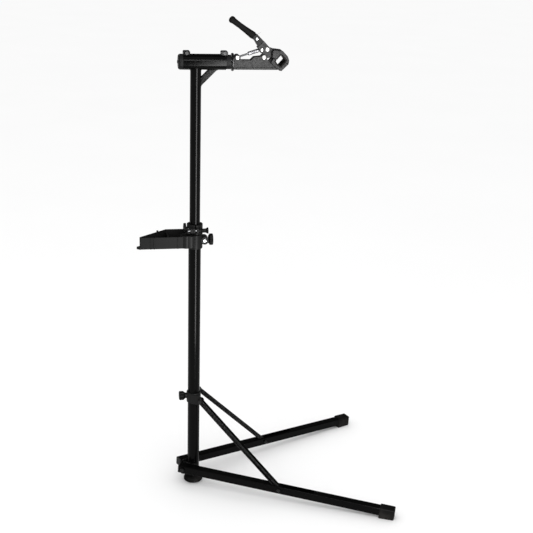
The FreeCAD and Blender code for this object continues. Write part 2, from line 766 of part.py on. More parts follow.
def make_lever_plates():
    """Two knuckle plates outside the jaw tang, carrying pins B and C."""
    outline = round_corner(rivet_b, knuckle_r, 170, 271, 20) + round_corner(rivet_c, knuckle_r, 270, 401, 20)
    outline += [(86, 60.5), (67, 43)]
    plates = []
    for y in (lever_in, -lever_out):
        plate = prism(outline, y, y + lever_plate_t)
        for place in (rivet_b, rivet_c):
            plate = plate.cut(disc(place, stud_r + fit_gap, -20, 20))
        plates.append(at_clamp(plate))
    return group(plates)


def grip_line():
    """Start, direction and length of the handle's grip."""
    run, rise = grip_high[0] - grip_low[0], grip_high[1] - grip_low[1]
    length = hypot(run, rise)
    return V(grip_low[0], 0, grip_low[1]), V(run / length, 0, rise / length), length


def make_lever_arm():
    """Moulded arm between the knuckle plates and the grip, with the grip's core."""
    arm = prism([(69, 45), (71, 40), (92.5, 53), (83, 63), (66, 79.5), (52.5, 71.5)], -lever_in, lever_in)
    face, axis, length = grip_line()
    core = rod(core_r, face - axis * 8, axis, length - 6)
    shoulder = rod(grip_r - 1.2, face - axis * 6, axis, 6)
    beyond = rod(2 * grip_r, face, axis, length).cut(rod(core_r, face, axis, length))
    return at_clamp(union([arm.cut(beyond), core, shoulder]))


def make_grip():
    """Rubber grip: waisted, flared at its outer end."""
    face, axis, length = grip_line()
    r = grip_r
    profile = [(0, 0), (0, r), (8, r), (30, r - 1.6), (length * 0.6, r - 2.2), (length - 10, r - 1.6),
               (length - 4, r), (length + 1, r - 1.5), (length + 4, r - 5), (length + 4, 0)]
    return at_clamp(turned(profile, face, axis).cut(rod(core_r, face, axis, length - 14)))


def make_grip_screw():
    head = turned([(0, 0), (0, 4.2), (1.2, 4.2), (2, 3.2), (2, 0)], V(65.5, -lever_in, 66.5), -Y)
    return at_clamp(head)


def link_frame():
    """Pivot A, pivot B, the direction between them and their distance."""
    run, rise = rivet_b[0] - rivet_a[0], rivet_b[1] - rivet_a[1]
    length = hypot(run, rise)
    return V(rivet_a[0], 0, rivet_a[1]), V(rivet_b[0], 0, rivet_b[1]), V(run / length, 0, rise / length), length


def make_link_rod():
    """Eye on pin A with the screwed rod that the adjuster turns on."""
    a, b, axis, length = link_frame()
    body = union([disc(rivet_a, 7, -6, 6), rod(stud_r, a + axis * 5, axis, length * 0.68 - 5)])
    return at_clamp(body.cut(disc(rivet_a, rivet_shank + fit_gap, -20, 20)))


def make_adjuster():
    """Knurled steel barrel that sets the jaw size."""
    a, b, axis, length = link_frame()
    start = a + axis * (length * 0.45)
    barrel = turned([(0, 0), (0, 4.4), (1.2, 5.5), (length * 0.42, 5.5), (length * 0.42, 0)], start, axis)
    barrel = barrel.cut(rod(stud_r + fit_gap, start, axis, length * 0.24))
    return at_clamp(barrel.cut(rod(stud_r + fit_gap, start + axis * (length * 0.3), axis, length)))


def make_link_end():
    """Swivel end between the lever plates, at the open pivot B."""
    a, b, axis, length = link_frame()
    stub = rod(stud_r, a + axis * (length * 0.77), axis, length * 0.23 - 3)
    return at_clamp(union([disc(rivet_b, 5.3, -6, 6), stub]))


def make_pin_b():
    """Two headed studs at pivot B, one in each lever plate."""
    studs = []
    for side in (1, -1):
        shank = rod(stud_r, V(rivet_b[0], side * lever_in, rivet_b[1]), Y * side, lever_plate_t)
        dome = rivet_dome(rivet_b, side, lever_out, 1.8, 4.8)
        studs.append(shank.fuse(dome).removeSplitter())
    return at_clamp(Part.makeCompound(studs))


# ---------------------------------------------------------------- tool tray
def tray_outline(k):
    """The tray's plan, k in from its outside: round front corner, notch for the mast, slanted rear."""
    notch = tray_collar_r + face_gap + 1.5 + k
    slant_x, slant_y = tray_split_x - 2, tray_y0 + 10
    centre = (tray_x1 - tray_corner, tray_y0 + tray_corner)
    corner = round_corner(centre, tray_corner - k, -90, 1, 15)
    return [(tray_x0 + k, tray_y0 + k)] + corner + [(tray_x1 - k, -notch), (-notch, -notch),
            (-notch, tray_y1 - k), (slant_x + k * 0.4, tray_y1 - k), (tray_x0 + k, slant_y + k * 0.4)]


def make_tray_body():
    """Open tray with a floor, a divider, outer ribs and a round cup."""
    shell = rounded(slab(tray_outline(0), tray_floor_z, tray_top), 3, Z)
    inner_floor = tray_floor_z + tray_wall
    hollow = rounded(slab(tray_outline(tray_wall), inner_floor, tray_top + 1), 2, Z)
    cup = rod(cup_d / 2, V(cup_x, cup_y, tray_floor_z), Z, tray_h + 2)
    body = shell.cut(hollow).fuse(cup)
    body = body.cut(rod(cup_d / 2 - tray_wall, V(cup_x, cup_y, inner_floor), Z, tray_h + 2))
    divider = box(tray_split_x, tray_split_x + tray_wall, tray_y0 + 1, tray_y1 - 1, tray_floor_z, tray_top - 6)
    ribs = [box(x, x + 3.2, tray_y0 - 2, tray_y0 + 1, tray_floor_z, tray_top - 1)
            for x in (tray_x0 + 31, tray_x0 + 41, tray_x1 - 55)]
    lip = slab([(tray_x0 - 9, tray_y0 + 6), (tray_x0 + 2, tray_y0 - 2), (tray_x0 + 2, tray_y0 + 14)],
               tray_floor_z, tray_floor_z + 8)
    post = rod(3, V(tray_split_x - 28, tray_y1 - 24, tray_floor_z), Z, tray_h + 4)
    return union([body, divider, lip, post] + ribs)


def make_tray_collar():
    """Clamp ring round the mast with an arm under the tray and a boss for the screw."""
    ring = rod(tray_collar_r, V(0, 0, tray_collar_z), Z, tray_collar_h)
    shelf = box(-70, 0, -16, 16, tray_floor_z - tray_shelf_t, tray_floor_z)
    boss = rod(boss_r, V(boss_x, -16, boss_z), Y, 32)
    block = box(tray_bore, boss_x, -boss_r, boss_r, boss_z - 10, boss_z + 10)
    body = union([ring, shelf, boss, block])
    body = body.cut(rod(tray_bore, V(0, 0, tray_collar_z - 1), Z, tray_collar_h + 2))
    body = body.cut(rod(barrel_r + fit_gap, V(boss_x, -17, boss_z), Y, 34))
    return body.cut(rod(screw_r + fit_gap, V(tray_bore - 4, 0, boss_z), X, boss_x))


def make_tray_barrel():
    """Cross pin in the boss that the clamp screw threads through."""
    pin = rod(barrel_r, V(boss_x, -16.5, boss_z), Y, 33)
    pin = pin.cut(box(boss_x - 2.5, boss_x + 2.5, -17, -15.5, boss_z - 0.6, boss_z + 0.6))
    return pin.cut(rod(screw_r + fit_gap, V(boss_x - barrel_r - 1, 0, boss_z), X, 2 * barrel_r + 2))


def tray_knob_face():
    return boss_x + boss_r + face_gap


def make_tray_screw():
    end = tray_knob_face() + tray_knob_depth * knob_socket
    return rod(screw_r, V(tray_bore + 0.1, 0, boss_z), X, end - tray_bore - 0.1)


def make_tray_knob():
    return knob(tray_knob_d, tray_knob_depth, V(tray_knob_face(), 0, boss_z), X, screw_r, 8)


def make_tray_screws():
    """Heads of the screws that fix the tray floor to the shelf."""
    heads = []
    for x, y in ((-60, -9), (-60, 9), (-42, 0)):
        start = V(x, y, tray_floor_z + tray_wall)
        heads.append(turned([(0, 0), (0, 4), (1, 4), (2, 2.8), (2, 0)], start, Z))
    return Part.makeCompound(heads)


# ---------------------------------------------------------------- the stand
def build():
    keep("lower_mast_tube", make_mast())
    keep("base_bracket", make_base_bracket())
    keep("foot_pad", make_foot_pad())
    keep("foot_hub", make_foot_hub())
    keep("foot_bolt", make_foot_bolt())
    both_sides("leg_tube", make_leg_tube())
    both_sides("leg_boot", make_leg_boot())
    both_sides("leg_rear_plug", make_leg_plug())
    keep("leg_hinge_bolts", paired(make_leg_bolt()))
    both_sides("brace", make_brace())
    both_sides("brace_foot_bolt", make_brace_foot_bolt())
    both_sides("brace_top_bolt", make_brace_top_bolt())
    keep("brace_collar", make_brace_collar())
    keep("collar_ear_studs", paired(make_ear_stud()))
    keep("collar_knob", make_collar_knob())
    keep("collar_screw", make_collar_screw())
    keep("height_collar", make_height_collar())
    keep("height_bushing", make_height_bushing())
    keep("skewer", make_skewer())
    keep("skewer_nut", make_skewer_nut())
    keep("cam_saddle", make_cam_saddle())
    keep("cam_lever", make_cam_lever())
    keep("upper_mast_tube", make_upper_mast())
    keep("mast_guide", make_mast_guide())
    keep("head_tube", make_head_tube())
    keep("head_gusset", make_gusset())
    keep("pinch_lugs", make_pinch_lugs())
    keep("pinch_bolts", make_pinch_bolts())
    keep("head_ring_rear", make_head_ring(head_x0 - rear_ring, rear_ring, head_r - 0.3))
    keep("head_ring_front", make_head_ring(head_x1, front_ring, head_r - 2))
    keep("clamp_shaft", make_shaft())
    keep("shaft_cap", make_shaft_cap())
    keep("clamp_flange", make_flange())
    keep("clamp_body", make_clamp_body())
    keep("fixed_jaw", make_fixed_jaw())
    keep("fixed_jaw_pad", make_jaw_pad(-1))
    keep("moving_jaw", make_moving_jaw())
    keep("moving_jaw_pad", make_jaw_pad(1))
    keep("lever_plates", make_lever_plates())
    keep("lever_arm", make_lever_arm())
    keep("handle_grip", make_grip())
    keep("grip_screw", make_grip_screw())
    keep("link_rod", make_link_rod())
    keep("adjuster_barrel", make_adjuster())
    keep("link_end", make_link_end())
    keep("pins_b", make_pin_b())
    keep("pin_c", rivet(rivet_c, stud_r, lever_out, radius=6.8))
    keep("pins_a_d", group([rivet(place, rivet_shank, plate_out) for place in (rivet_a, rivet_d)]))
    keep("tray_body", make_tray_body())
    keep("tray_collar", make_tray_collar())
    keep("tray_barrel", make_tray_barrel())
    keep("tray_screw", make_tray_screw())
    keep("tray_knob", make_tray_knob())
    keep("tray_fixings", make_tray_screws())


build()
os.makedirs("parts", exist_ok=True)
for name, shape in parts.items():
    shape.exportStep("parts/" + name + ".step")
print(len(parts), "parts")
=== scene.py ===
# %% [markdown]
# # A folding bike repair stand
# The stand is a black steel mast on two folding legs, with a tool tray half way up and
# a lever clamp at the top. The engineering model already holds every tube, bolt and
# casting at its true size, so this script loads it and works on what the eye sees:
# rounded edges, threads, knurls, rubber, paint and light. Lengths are in metres.

# %% Load the frame
import bpy
import bmesh
import json
import math
from mathutils import Matrix, Vector

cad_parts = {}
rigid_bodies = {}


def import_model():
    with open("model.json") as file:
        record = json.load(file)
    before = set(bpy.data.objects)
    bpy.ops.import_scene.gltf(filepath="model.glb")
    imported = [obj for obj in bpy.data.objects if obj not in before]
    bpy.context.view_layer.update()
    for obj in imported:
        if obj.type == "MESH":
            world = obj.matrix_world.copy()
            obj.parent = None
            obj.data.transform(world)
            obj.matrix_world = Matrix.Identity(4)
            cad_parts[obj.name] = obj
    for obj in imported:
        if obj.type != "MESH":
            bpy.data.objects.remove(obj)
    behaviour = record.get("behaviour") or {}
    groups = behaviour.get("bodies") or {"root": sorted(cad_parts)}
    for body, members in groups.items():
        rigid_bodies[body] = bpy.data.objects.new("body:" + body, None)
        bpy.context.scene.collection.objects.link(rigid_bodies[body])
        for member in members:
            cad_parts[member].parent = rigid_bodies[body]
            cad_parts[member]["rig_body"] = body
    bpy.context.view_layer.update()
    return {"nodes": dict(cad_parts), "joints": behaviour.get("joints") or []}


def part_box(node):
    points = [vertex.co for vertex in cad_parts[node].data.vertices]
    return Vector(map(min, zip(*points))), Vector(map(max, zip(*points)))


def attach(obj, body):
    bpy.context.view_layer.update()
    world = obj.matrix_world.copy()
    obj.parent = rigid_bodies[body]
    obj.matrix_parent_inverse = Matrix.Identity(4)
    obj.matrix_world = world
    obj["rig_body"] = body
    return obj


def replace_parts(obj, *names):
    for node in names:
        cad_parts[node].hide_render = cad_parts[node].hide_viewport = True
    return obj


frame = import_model()
nodes = frame["nodes"]
joints = {joint["name"]: joint for joint in frame["joints"]}
scene = bpy.context.scene
MM = 0.001

# %% [markdown]
# ## Camera
# The stand is seen from a little above the clamp's height, from its left front, with a
# long lens. A camera in Blender looks down its own -Z axis, so the matrix is built from
# three directions: right, up and backwards. A small roll tips right and up together.

# %% Camera
EYE = Vector((-0.2990, -2.8137, 1.7768))
AIM = Vector((0.2166, -0.0403, 0.7557))
ROLL = math.radians(1.89)
LENS = 66.25

back = (EYE - AIM).normalized()
right = Vector((0, 0, 1)).cross(back).normalized()
up = back.cross(right)
rolled_right = right * math.cos(ROLL) + up * math.sin(ROLL)
rolled_up = up * math.cos(ROLL) - right * math.sin(ROLL)
camera = bpy.data.objects.new("camera", bpy.data.cameras.new("camera"))
scene.collection.objects.link(camera)
turn = Matrix((rolled_right, rolled_up, back)).transposed().to_4x4()
camera.matrix_world = Matrix.Translation(EYE) @ turn
camera.data.lens = LENS
camera.data.sensor_width = 36.0
camera.data.clip_start = 0.05
scene.camera = camera
print("camera is", round((EYE - AIM).length, 2), "m from the stand")

# %% [markdown]
# ## Shader maths
# A finish is a small graph of nodes, and writing one node at a time hides the idea. Two
# classes make it read like arithmetic. Value wraps a number socket and turns + - *
# into Math nodes. Finish owns the material, and its node method makes anything
# else: settings go in first, because some of them change which sockets a node has.

# %% Value and Finish
class Value:
    """A number that a node gives out; arithmetic on it adds Math nodes."""

    def __init__(self, finish, socket):
        self.finish = finish
        self.socket = socket

    def maths(self, operation, *numbers):
        node = self.finish.node("ShaderNodeMath", {"operation": operation}, dict(enumerate(numbers)))
        return Value(self.finish, node.outputs[0])

    def __add__(self, other):
        return self.maths("ADD", self, other)

    def __sub__(self, other):
        return self.maths("SUBTRACT", self, other)

    def __mul__(self, other):
        return self.maths("MULTIPLY", self, other)

    def __rsub__(self, other):
        return self.maths("SUBTRACT", other, self)

    __radd__ = __add__
    __rmul__ = __mul__

    def between(self, low, high):
        """0 below low, 1 above high, smooth between."""
        node = self.finish.node("ShaderNodeMapRange", {"interpolation_type": "SMOOTHSTEP", "clamp": True},
                                {"Value": self, "From Min": low, "From Max": high})
        return Value(self.finish, node.outputs["Result"])

    def clamped(self):
        node = self.finish.node("ShaderNodeClamp", {}, {"Value": self})
        return Value(self.finish, node.outputs[0])


class Finish:
    """A material whose uniform numbers sit on the shader and whose detail comes from nodes."""

    def __init__(self, name, **uniform):
        self.material = bpy.data.materials.new(name)
        self.material.use_nodes = True
        self.tree = self.material.node_tree
        self.shader = self.tree.nodes["Principled BSDF"]
        for socket, value in uniform.items():
            self.shader.inputs[socket.replace("_", " ")].default_value = value
        self.place = self.node("ShaderNodeTexCoord").outputs["Object"]

    def node(self, kind, settings=None, sockets=None):
        made = self.tree.nodes.new(kind)
        for key, value in (settings or {}).items():
            setattr(made, key, value)
        for key, value in (sockets or {}).items():
            self.feed(made.inputs[key], value)
        return made

    def feed(self, socket, value):
        value = getattr(value, "socket", value)
        if isinstance(value, bpy.types.NodeSocket):
            self.tree.links.new(value, socket)
        else:
            socket.default_value = value

    def noise(self, scale, detail=2.0, roughness=0.5, stretch=(1, 1, 1)):
        """Cloudy noise, with scale in features per metre; stretch draws it out along an axis."""
        place = self.place
        if stretch != (1, 1, 1):
            drawn_out = self.node("ShaderNodeVectorMath", {"operation": "MULTIPLY"}, {0: place, 1: stretch})
            place = drawn_out.outputs[0]
        made = self.node("ShaderNodeTexNoise", {}, {"Vector": place, "Scale": scale, "Detail": detail,
                                                    "Roughness": roughness})
        return Value(self, made.outputs[0])

    def cells(self, scale, feature="F1"):
        made = self.node("ShaderNodeTexVoronoi", {"feature": feature}, {"Vector": self.place, "Scale": scale})
        return Value(self, made.outputs["Distance"])

    def mark(self, name):
        """A number stored on the mesh, such as how near an edge is; 0 where a mesh has none."""
        return Value(self, self.node("ShaderNodeAttribute", {"attribute_name": name}).outputs["Fac"])

    def height(self):
        split = self.node("ShaderNodeSeparateXYZ", {}, {0: self.place})
        return Value(self, split.outputs["Z"])

    def mix(self, amount, first, second):
        made = self.node("ShaderNodeMix", {"data_type": "RGBA"}, {0: amount, 6: first, 7: second})
        return made.outputs[2]

    def finish(self, color, roughness, bump=None, depth=0.0):
        """Feed the three things that vary over the surface."""
        self.feed(self.shader.inputs["Base Color"], color)
        self.feed(self.shader.inputs["Roughness"], roughness)
        if bump is not None:
            made = self.node("ShaderNodeBump", {}, {"Height": bump, "Strength": 1.0, "Distance": depth})
            self.feed(self.shader.inputs["Normal"], made.outputs[0])
        return self.material


def grey(level, warm=0.0):
    return (level * (1 + warm), level, level * (1 - warm), 1.0)


print("shader helpers ready")

# %% [markdown]
# ## Powder coat
# The tubes are steel with a gloss black powder coat. Powder melts into a skin with a
# faint orange peel, about a millimetre across, so highlights along a tube break up a
# little. A trace of clear coat over it adds a sharper reflection to the softer one below.
# Handling leaves dull patches, and the sharpest edges look a touch lighter.

# %% Gloss black powder coat
coat = Finish("gloss_powder_coat", Coat_Weight=0.02, Coat_Roughness=0.12, Specular_IOR_Level=0.05)
peel = coat.noise(620, 3.0, 0.55)
handling = coat.noise(9, 4.0, 0.6).between(0.42, 0.72)
specks = coat.cells(900).between(0.22, 0.05)
edge = coat.mark("edge") * coat.noise(150, 3.0).between(0.35, 0.65)
tone = coat.mix(handling * 0.5, grey(0.0016), grey(0.0036, 0.03))
tone = coat.mix(edge * 0.5 + specks * 0.10, tone, grey(0.045))
gloss_coat = coat.finish(tone, handling * 0.08 + peel * 0.04 + 0.12, peel, 0.000004)
print("made", gloss_coat.name)

# %% [markdown]
# ## Satin grey casting
# The clamp's channel, jaws and knuckle plates are pressed and cast steel in a dark grey
# satin coat. Its grain is coarser than on the tubes: fine pits from the sand blast below
# it, with corners rubbed a little brighter where tools and hands pass.

# %% Satin grey
satin = Finish("satin_grey_casting", Metallic=0.0, Specular_IOR_Level=0.08)
pits = satin.cells(1400).between(0.05, 0.45)
cloud = satin.noise(38, 4.0, 0.6)
rub = satin.mark("edge") * satin.noise(210, 3.0).between(0.3, 0.6)
tone = satin.mix(cloud, grey(0.0085), grey(0.0125, 0.02))
tone = satin.mix(rub * 0.25, tone, grey(0.05))
satin_grey = satin.finish(tone, cloud * 0.12 - rub * 0.10 + 0.38, pits, 0.000006)
print("made", satin_grey.name)

# %% [markdown]
# ## Moulded plastic
# Collars, knobs, the tray and the end rings are glass-filled nylon straight from a spark
# eroded mould. That texture is a fine leather-like grain, and the moulding's corners come
# out slightly shinier and lighter because the grain is shallower there.

# %% Moulded black nylon
nylon = Finish("moulded_black_nylon", Specular_IOR_Level=0.05)
grain = nylon.cells(1100) * 0.7 + nylon.noise(1900, 2.0) * 0.5
flow = nylon.noise(14, 3.0, 0.5)
corner = nylon.mark("edge")
tone = nylon.mix(flow, grey(0.0032), grey(0.0060, 0.02))
tone = nylon.mix(corner * 0.4, tone, grey(0.030))
black_nylon = nylon.finish(tone, flow * 0.12 - corner * 0.08 + 0.42, grain, 0.00002)
print("made", black_nylon.name)

# %% [markdown]
# ## Rubber
# The grip, the boots and the foot are rubber: matt, a little brown in the black, with
# dust that settles in its grain and more of it near the floor.

# %% Black rubber
rubber = Finish("black_rubber", Specular_IOR_Level=0.05)
skin = rubber.cells(760) * 0.6 + rubber.noise(1300, 3.0, 0.6) * 0.6
smudge = rubber.noise(24, 4.0, 0.65).between(0.40, 0.75)
dust = rubber.height().between(0.05, 0.0) * smudge
tone = rubber.mix(smudge, grey(0.0040, 0.03), grey(0.0085, 0.05))
tone = rubber.mix((dust * 0.35 + rubber.mark("edge") * 0.20).clamped(), tone, grey(0.05, 0.08))
black_rubber = rubber.finish(tone, smudge * 0.12 + 0.60, skin, 0.00004)
print("made", black_rubber.name)

# %% [markdown]
# ## Plated and bare metals
# Four metals differ mostly in colour and polish. Zinc plate on screws is grey, with
# cloudy spangle. Rivet heads are bright nickel with hairline scratches. Bolts on the legs
# have black oxide, thin enough that the steel glints through on corners.

# %% Zinc, nickel and black oxide
zinc = Finish("zinc_plate", Metallic=0.6)
spangle = zinc.cells(420).between(0.1, 0.6)
haze = zinc.noise(60, 4.0, 0.6)
tone = zinc.mix(spangle, (0.16, 0.165, 0.17, 1), (0.26, 0.265, 0.27, 1))
zinc_plate = zinc.finish(tone, 0.42 - haze * 0.22, spangle * 0.4 + haze, 0.00003)

nickel = Finish("bright_nickel", Metallic=0.45)
hairs = nickel.noise(700, 2.0, 0.5, (1, 0.15, 0.05))
tone = nickel.mix(nickel.noise(90, 3.0), (0.80, 0.79, 0.77, 1), (0.93, 0.92, 0.90, 1))
bright_nickel = nickel.finish(tone, hairs * 0.16 + 0.16, hairs, 0.00001)

oxide = Finish("black_oxide", Metallic=0.85)
glint = oxide.mark("edge") * oxide.noise(260, 2.0).between(0.3, 0.7)
film = oxide.noise(120, 4.0, 0.6)
tone = oxide.mix((glint * 0.5 + film * 0.10).clamped(), grey(0.006), grey(0.05))
black_oxide = oxide.finish(tone, film * 0.2 + 0.30, film, 0.00003)

steel = Finish("turned_steel", Metallic=1.0)
turning = steel.noise(900, 2.0, 0.5, (1, 0.1, 1))
grime = steel.noise(75, 4.0, 0.6).between(0.35, 0.7)
tone = steel.mix(grime * 0.6, (0.10, 0.10, 0.105, 1), (0.055, 0.055, 0.057, 1))
turned_steel = steel.finish(tone, turning * 0.15 + grime * 0.15 + 0.24, turning, 0.00002)
print("made", zinc_plate.name, bright_nickel.name, black_oxide.name, turned_steel.name)

# %% [markdown]
# ## Putting pieces on bodies
# Each visible piece takes two things: a material and the body it moves with. One function
# does both, and another one gives a material to engineering nodes that are shown as they are.

# %% Dressing pieces
body_of_node = {name: node["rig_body"] for name, node in nodes.items()}


def smooth(mesh, angle=32):
    for face in mesh.polygons:
        face.use_smooth = True
    mesh.set_sharp_from_angle(angle=math.radians(angle))


def piece(name, mesh, material, node):
    """A new piece that stands for an engineering node."""
    made = bpy.data.objects.new(name, mesh)
    scene.collection.objects.link(made)
    made.data.materials.append(material)
    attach(made, body_of_node[node])
    return made


def dress(node, material):
    """An engineering node shown as it is, in a better material."""
    shown = nodes[node]
    for index in range(max(1, len(shown.material_slots))):
        if not shown.material_slots:
            shown.data.materials.append(material)
        shown.material_slots[index].material = material


# %% [markdown]
# ## Soft edges
# Engineering solids have knife edges, and no real corner does. For each moulding,
# pressing and casting its mesh is copied, flat facets are merged, and every sharp edge is
# bevelled to a small radius in the copy. The new corner vertices also get a mark named
# edge, which the finishes read to show rubbed corners.

# %% Bevelled copies
def softened(node, material, radius, segments=3, sharp=28):
    radius *= MM
    bm = bmesh.new()
    bm.from_mesh(nodes[node].data)
    bmesh.ops.remove_doubles(bm, verts=bm.verts, dist=0.00001)
    bmesh.ops.dissolve_limit(bm, angle_limit=math.radians(0.6), verts=bm.verts, edges=bm.edges)
    mark = bm.verts.layers.float.new("edge")
    keen = [e for e in bm.edges if len(e.link_faces) == 2 and e.calc_face_angle(0) > math.radians(sharp)]
    made = bmesh.ops.bevel(bm, geom=keen, offset=radius, offset_type="OFFSET", segments=segments,
                           profile=0.5, affect="EDGES", clamp_overlap=False)
    for vert in made["verts"]:
        vert[mark] = 1.0
    bmesh.ops.remove_doubles(bm, verts=bm.verts, dist=0.00002)
    mesh = bpy.data.meshes.new("soft_" + node)
    bm.to_mesh(mesh)
    bm.free()
    smooth(mesh)
    made = piece("soft_" + node, mesh, material, node)
    weigh = made.modifiers.new("even_shading", "WEIGHTED_NORMAL")
    weigh.keep_sharp = True
    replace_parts(made, node)
    return made


SOFT_EDGES = {
    gloss_coat: {"base_bracket": 0.7, "pinch_lugs": 0.8, "brace_far": 0.6, "brace_near": 0.6,
                 "head_gusset": 0.8},
    satin_grey: {"clamp_body": 0.6, "fixed_jaw": 1.0, "moving_jaw": 1.0, "lever_plates": 0.6},
    black_nylon: {"brace_collar": 0.9, "height_collar": 1.0, "cam_saddle": 0.5, "cam_lever": 1.2,
                  "lever_arm": 0.6, "tray_body": 0.4, "tray_collar": 1.0, "head_ring_rear": 0.9,
                  "head_ring_front": 0.9, "leg_rear_plug_far": 0.8, "leg_rear_plug_near": 0.8,
                  "shaft_cap": 0.5},
    black_rubber: {"fixed_jaw_pad": 0.4, "moving_jaw_pad": 0.4, "leg_boot_far": 1.2, "leg_boot_near": 1.2},
    black_oxide: {"leg_hinge_bolts": 0.4, "brace_foot_bolt_far": 0.3, "brace_foot_bolt_near": 0.3,
                  "brace_top_bolt_far": 0.3, "brace_top_bolt_near": 0.3, "collar_ear_studs": 0.3,
                  "pinch_bolts": 0.3, "foot_hub": 0.5, "clamp_flange": 0.3},
}
for material, table in SOFT_EDGES.items():
    for node, radius in table.items():
        softened(node, material, radius)
print("softened", sum(len(table) for table in SOFT_EDGES.values()), "nodes")

# %% [markdown]
# ## Plain nodes
# Round tubes and small screws have few corners that show, so their engineering shapes
# stay as they are and only take a finish.

# %% Plain nodes
PLAIN = {
    gloss_coat: ["lower_mast_tube", "upper_mast_tube", "leg_tube_far", "leg_tube_near", "head_tube"],
    black_nylon: ["height_bushing", "mast_guide", "skewer_nut"],
    zinc_plate: ["foot_bolt", "skewer", "collar_screw", "tray_screw", "tray_barrel",
                 "tray_fixings", "clamp_shaft", "grip_screw", "link_end"],
}
for material, names in PLAIN.items():
    for node in names:
        dress(node, material)
print("dressed", sum(len(names) for names in PLAIN.values()), "nodes as they are")

# %% [markdown]
# ## Turned pieces
# Rivets, grips, knobs, threads and knurls are all bodies of revolution, some with a
# pattern cut in. One lathe function builds them: a profile of distance and radius pairs
# is swept round an axis, and an optional function changes the radius with the angle and
# the distance. A spiral wave gives a thread, two crossed spirals a knurl, and a slow
# wave the lobes of a knob.

# %% Lathe
def dense(profile, step):
    """The same profile with points no further apart than step."""
    points = [profile[0]]
    for (t0, r0), (t1, r1) in zip(profile, profile[1:]):
        count = max(1, math.ceil(math.hypot(t1 - t0, r1 - r0) / step))
        points += [(t0 + (t1 - t0) * k / count, r0 + (r1 - r0) * k / count) for k in range(1, count + 1)]
    return points


def rounded_profile(profile, radius, steps=4):
    """Profile corners cut back by radius and rounded."""
    points = [profile[0]]
    for before, corner, after in zip(profile, profile[1:], profile[2:]):
        here, a, b = Vector(corner), Vector(before), Vector(after)
        reach = min(radius, (a - here).length * 0.45, (b - here).length * 0.45)
        if reach < 1e-5:
            points.append(corner)
            continue
        start = here + (a - here).normalized() * reach
        end = here + (b - here).normalized() * reach
        for k in range(steps + 1):
            s = k / steps
            points.append(tuple(start * (1 - s) ** 2 + here * (2 * s * (1 - s)) + end * s ** 2))
    return points + [profile[-1]]


def turned(name, start, axis, profile, sides=48, shape=None):
    """A mesh of revolution; both ends of the profile lie on the axis."""
    along = Vector(axis).normalized()
    across = along.orthogonal().normalized()
    third = along.cross(across)
    bm = bmesh.new()
    rings = []
    for t, r in profile:
        if r < 1e-6:
            rings.append([bm.verts.new(start + along * t)])
            continue
        ring = []
        for k in range(sides):
            angle = 2 * math.pi * k / sides
            reach = r if shape is None else shape(angle, t, r)
            spoke = across * math.cos(angle) + third * math.sin(angle)
            ring.append(bm.verts.new(start + along * t + spoke * reach))
        rings.append(ring)
    for a, b in zip(rings, rings[1:]):
        for k in range(sides):
            j = (k + 1) % sides
            corners = [a[k % len(a)], a[j % len(a)], b[j % len(b)], b[k % len(b)]]
            bm.faces.new(list(dict.fromkeys(corners)))
    bmesh.ops.recalc_face_normals(bm, faces=bm.faces)
    mesh = bpy.data.meshes.new(name)
    bm.to_mesh(mesh)
    bm.free()
    smooth(mesh, 40)
    return mesh


def middle(node):
    low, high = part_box(node)
    return (low + high) / 2


print("lathe ready")

# %% [markdown]
# ## Rivets
# The linkage's pins are cold headed: a low dome with a soft shoulder where the punch
# bore on it. Each pin is one lathe profile, from the crown of one head along the shank to
# the crown of the other, placed at the joint that turns on it.

# %% Rivets of the linkage
HEAD_RISE = 1.8 * MM
JAW_SHANK, JAW_HEAD = 4 * MM, 5.8 * MM          # pins at the link's foot and the jaw's pivot
LEVER_SHANK, LEVER_HEAD, STUD_HEAD = 3 * MM, 6.0 * MM, 4.5 * MM
LEVER_PLATE = 2.5 * MM


def pin_profile(half, shank, head):
    dome = [(half + HEAD_RISE * math.cos(a), head * math.sin(a)) for a in
            [math.radians(d) for d in (0, 15, 30, 45, 60, 72, 82, 90)]]
    right_half = dome[:-1] + [(half + HEAD_RISE * 0.1, head), (half, head * 0.98), (half, shank)]
    return [(-t, r) for t, r in right_half] + right_half[::-1]


def pin(name, joint_place, node, half, shank, head):
    made = turned(name, Vector(joint_place), (0, 1, 0), pin_profile(half, shank, head), 40)
    return piece(name, made, bright_nickel, node)


PIVOT_A = Vector(joints["link_swing"]["pos_m"])
PIVOT_C = Vector(joints["lever_swing"]["pos_m"])
PIVOT_D = Vector(joints["jaw_open"]["pos_m"])
plate_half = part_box("pins_a_d")[1].y - HEAD_RISE
lever_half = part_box("pin_c")[1].y - HEAD_RISE
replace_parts(pin("rivet_a", PIVOT_A, "pins_a_d", plate_half, JAW_SHANK, JAW_HEAD), "pins_a_d")
pin("rivet_d", PIVOT_D, "pins_a_d", plate_half, JAW_SHANK, JAW_HEAD)
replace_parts(pin("rivet_c", PIVOT_C, "pin_c", lever_half, LEVER_SHANK, LEVER_HEAD), "pin_c")

PIVOT_B = middle("pins_b")
stud_in = lever_half - LEVER_PLATE
for side, word in ((1, "far"), (-1, "near")):
    dome = [(t, r) for t, r in pin_profile(lever_half, LEVER_SHANK, STUD_HEAD) if t > 0]
    stud = turned("stud_b_" + word, PIVOT_B, (0, side, 0), [(stud_in, 0), (stud_in, LEVER_SHANK)] + dome, 36)
    made = piece("stud_b_" + word, stud, bright_nickel, "pins_b")
    if side > 0:
        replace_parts(made, "pins_b")
print("pivots at", [tuple(round(c, 3) for c in p) for p in (PIVOT_A, PIVOT_B, PIVOT_C, PIVOT_D)])

# %% [markdown]
# ## The adjuster
# The link is a screwed rod with a knurled barrel on it that sets how wide the jaws
# start. The thread's crest height follows one spiral; the knurl multiplies two spirals
# of opposite hand, which leaves raised diamonds.

